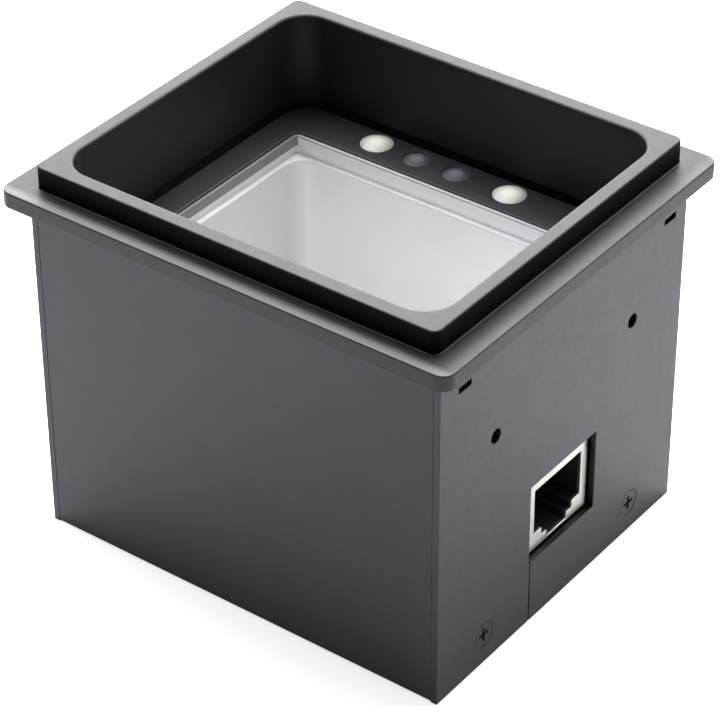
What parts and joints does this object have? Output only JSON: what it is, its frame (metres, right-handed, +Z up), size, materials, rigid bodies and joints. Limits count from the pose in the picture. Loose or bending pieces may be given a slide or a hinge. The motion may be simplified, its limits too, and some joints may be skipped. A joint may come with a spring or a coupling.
{
  "type": "flatbed barcode scanner",
  "caption": "Fixed-mount barcode scanner: a dark steel box with a flanged collar, a recessed scan window, a camera inside and a network-type socket in one side.",
  "frame": {"origin": "centre of the housing's underside", "axes": "+Z up through the scan window, +X towards the side with the network socket, +Y towards the side with the row of small lenses"},
  "size_m": [0.0848, 0.0734, 0.069],
  "materials": {
    "bezel": "black satin moulding",
    "sheet": "dark grey satin powder coat on steel sheet",
    "dark_screws": "blackened steel screws",
    "bright_screws": "zinc-plated steel",
    "standoffs": "nickel-free turned brass",
    "deck": "smooth black plastic",
    "seal": "thin black foam tape",
    "white_tape": "thin white double-sided tape",
    "clear_glass": "clear polished",
    "light_lenses": "milky diffusing lens",
    "sensor_lenses": "dark infrared-pass lens",
    "circuit_board": "green solder mask on glass-epoxy laminate",
    "white_board": "white solder mask",
    "led_package": "white package with yellow phosphor",
    "chip_black": "black moulded plastic",
    "connector_plastic": "ivory moulded plastic",
    "latch_plastic": "dark brown moulded plastic",
    "wire_jacket": "black and red soft jacket",
    "light_box": "pale grey diffusing moulding",
    "contact_metal": "gold-plated contact",
    "sensor_die": "image sensor under a cover glass",
    "barrel_metal": "black anodised aluminium",
    "lens_glass": "coated lens glass",
    "ribbon": "white flat flexible cable",
    "chip_ceramic": "tan ceramic",
    "inductor": "grey ferrite block",
    "capacitor_can": "bare aluminium can on a black foot",
    "socket_metal": "tin-plated stamped shell",
    "socket_plastic": "black moulded insert"
  },
  "bodies": {
    "housing": {"top_bezel": "bezel", "wrap_shell": "sheet", "right_plate": "sheet", "left_plate": "sheet", "side_screws": "dark_screws", "base_screws": "dark_screws", "board_standoffs": "standoffs", "board_screws": "bright_screws", "window_deck": "deck", "deck_seal": "seal", "glass_tape": "white_tape", "window_glass": "clear_glass", "light_lenses": "light_lenses", "sensor_lenses": "sensor_lenses", "lens_row_board": "circuit_board", "lens_row_leds": "led_package", "lens_row_sensors": "chip_black", "lens_row_screws": "bright_screws", "harness_plug": "connector_plastic", "harness_socket": "connector_plastic", "harness_wires": "wire_jacket", "light_box": "light_box", "light_box_screws": "bright_screws", "ring_light_board": "white_board", "ring_light_leds": "led_package", "ring_light_screws": "bright_screws", "ring_light_header": "chip_black", "ring_light_pins": "contact_metal", "camera_board": "circuit_board", "camera_spacers": "standoffs", "camera_screws": "bright_screws", "image_sensor": "sensor_die", "sensor_cover_glass": "clear_glass", "lens_holder": "chip_black", "lens_set_screw": "bright_screws", "camera_ribbon": "ribbon", "camera_ribbon_socket": "connector_plastic", "main_ribbon_socket": "connector_plastic", "main_board": "circuit_board", "processor_chip": "chip_black", "memory_chip": "chip_black", "chip_capacitors": "chip_ceramic", "crystal_can": "bright_screws", "power_inductor": "inductor", "storage_capacitors": "capacitor_can", "network_transformer": "chip_black", "buzzer": "chip_black", "socket_shell": "socket_metal", "socket_insert": "socket_plastic", "socket_contacts": "contact_metal"},
    "lens_optics": {"lens_front_element": "lens_glass", "lens_rear_element": "lens_glass"},
    "focus_barrel": {"lens_barrel": "barrel_metal"},
    "camera_latch": {"camera_ribbon_latch": "latch_plastic"},
    "main_latch": {"main_ribbon_latch": "latch_plastic"}
  },
  "joints": [
    {"name": "focus_travel", "type": "slide", "parent": "housing", "child": "lens_optics", "axis": [0, 0, 1], "range_m": [-0.0005, 0.0005]},
    {"name": "focus_turn", "type": "hinge", "parent": "lens_optics", "child": "focus_barrel", "pos_m": [0, 0, 0.016], "axis": [0, 0, 1], "range_deg": [-360, 360]},
    {"name": "camera_latch_flip", "type": "hinge", "parent": "housing", "child": "camera_latch", "pos_m": [-0.0142, 0, 0.0071], "axis": [0, 1, 0], "range_deg": [0, 90]},
    {"name": "main_latch_flip", "type": "hinge", "parent": "housing", "child": "main_latch", "pos_m": [-0.0222, 0, 0.0092], "axis": [0, -1, 0], "range_deg": [0, 90]}
  ],
  "couplings": [
    {"joint": "focus_turn", "follows": "focus_travel", "rad_per_m": 12566}
  ]
}
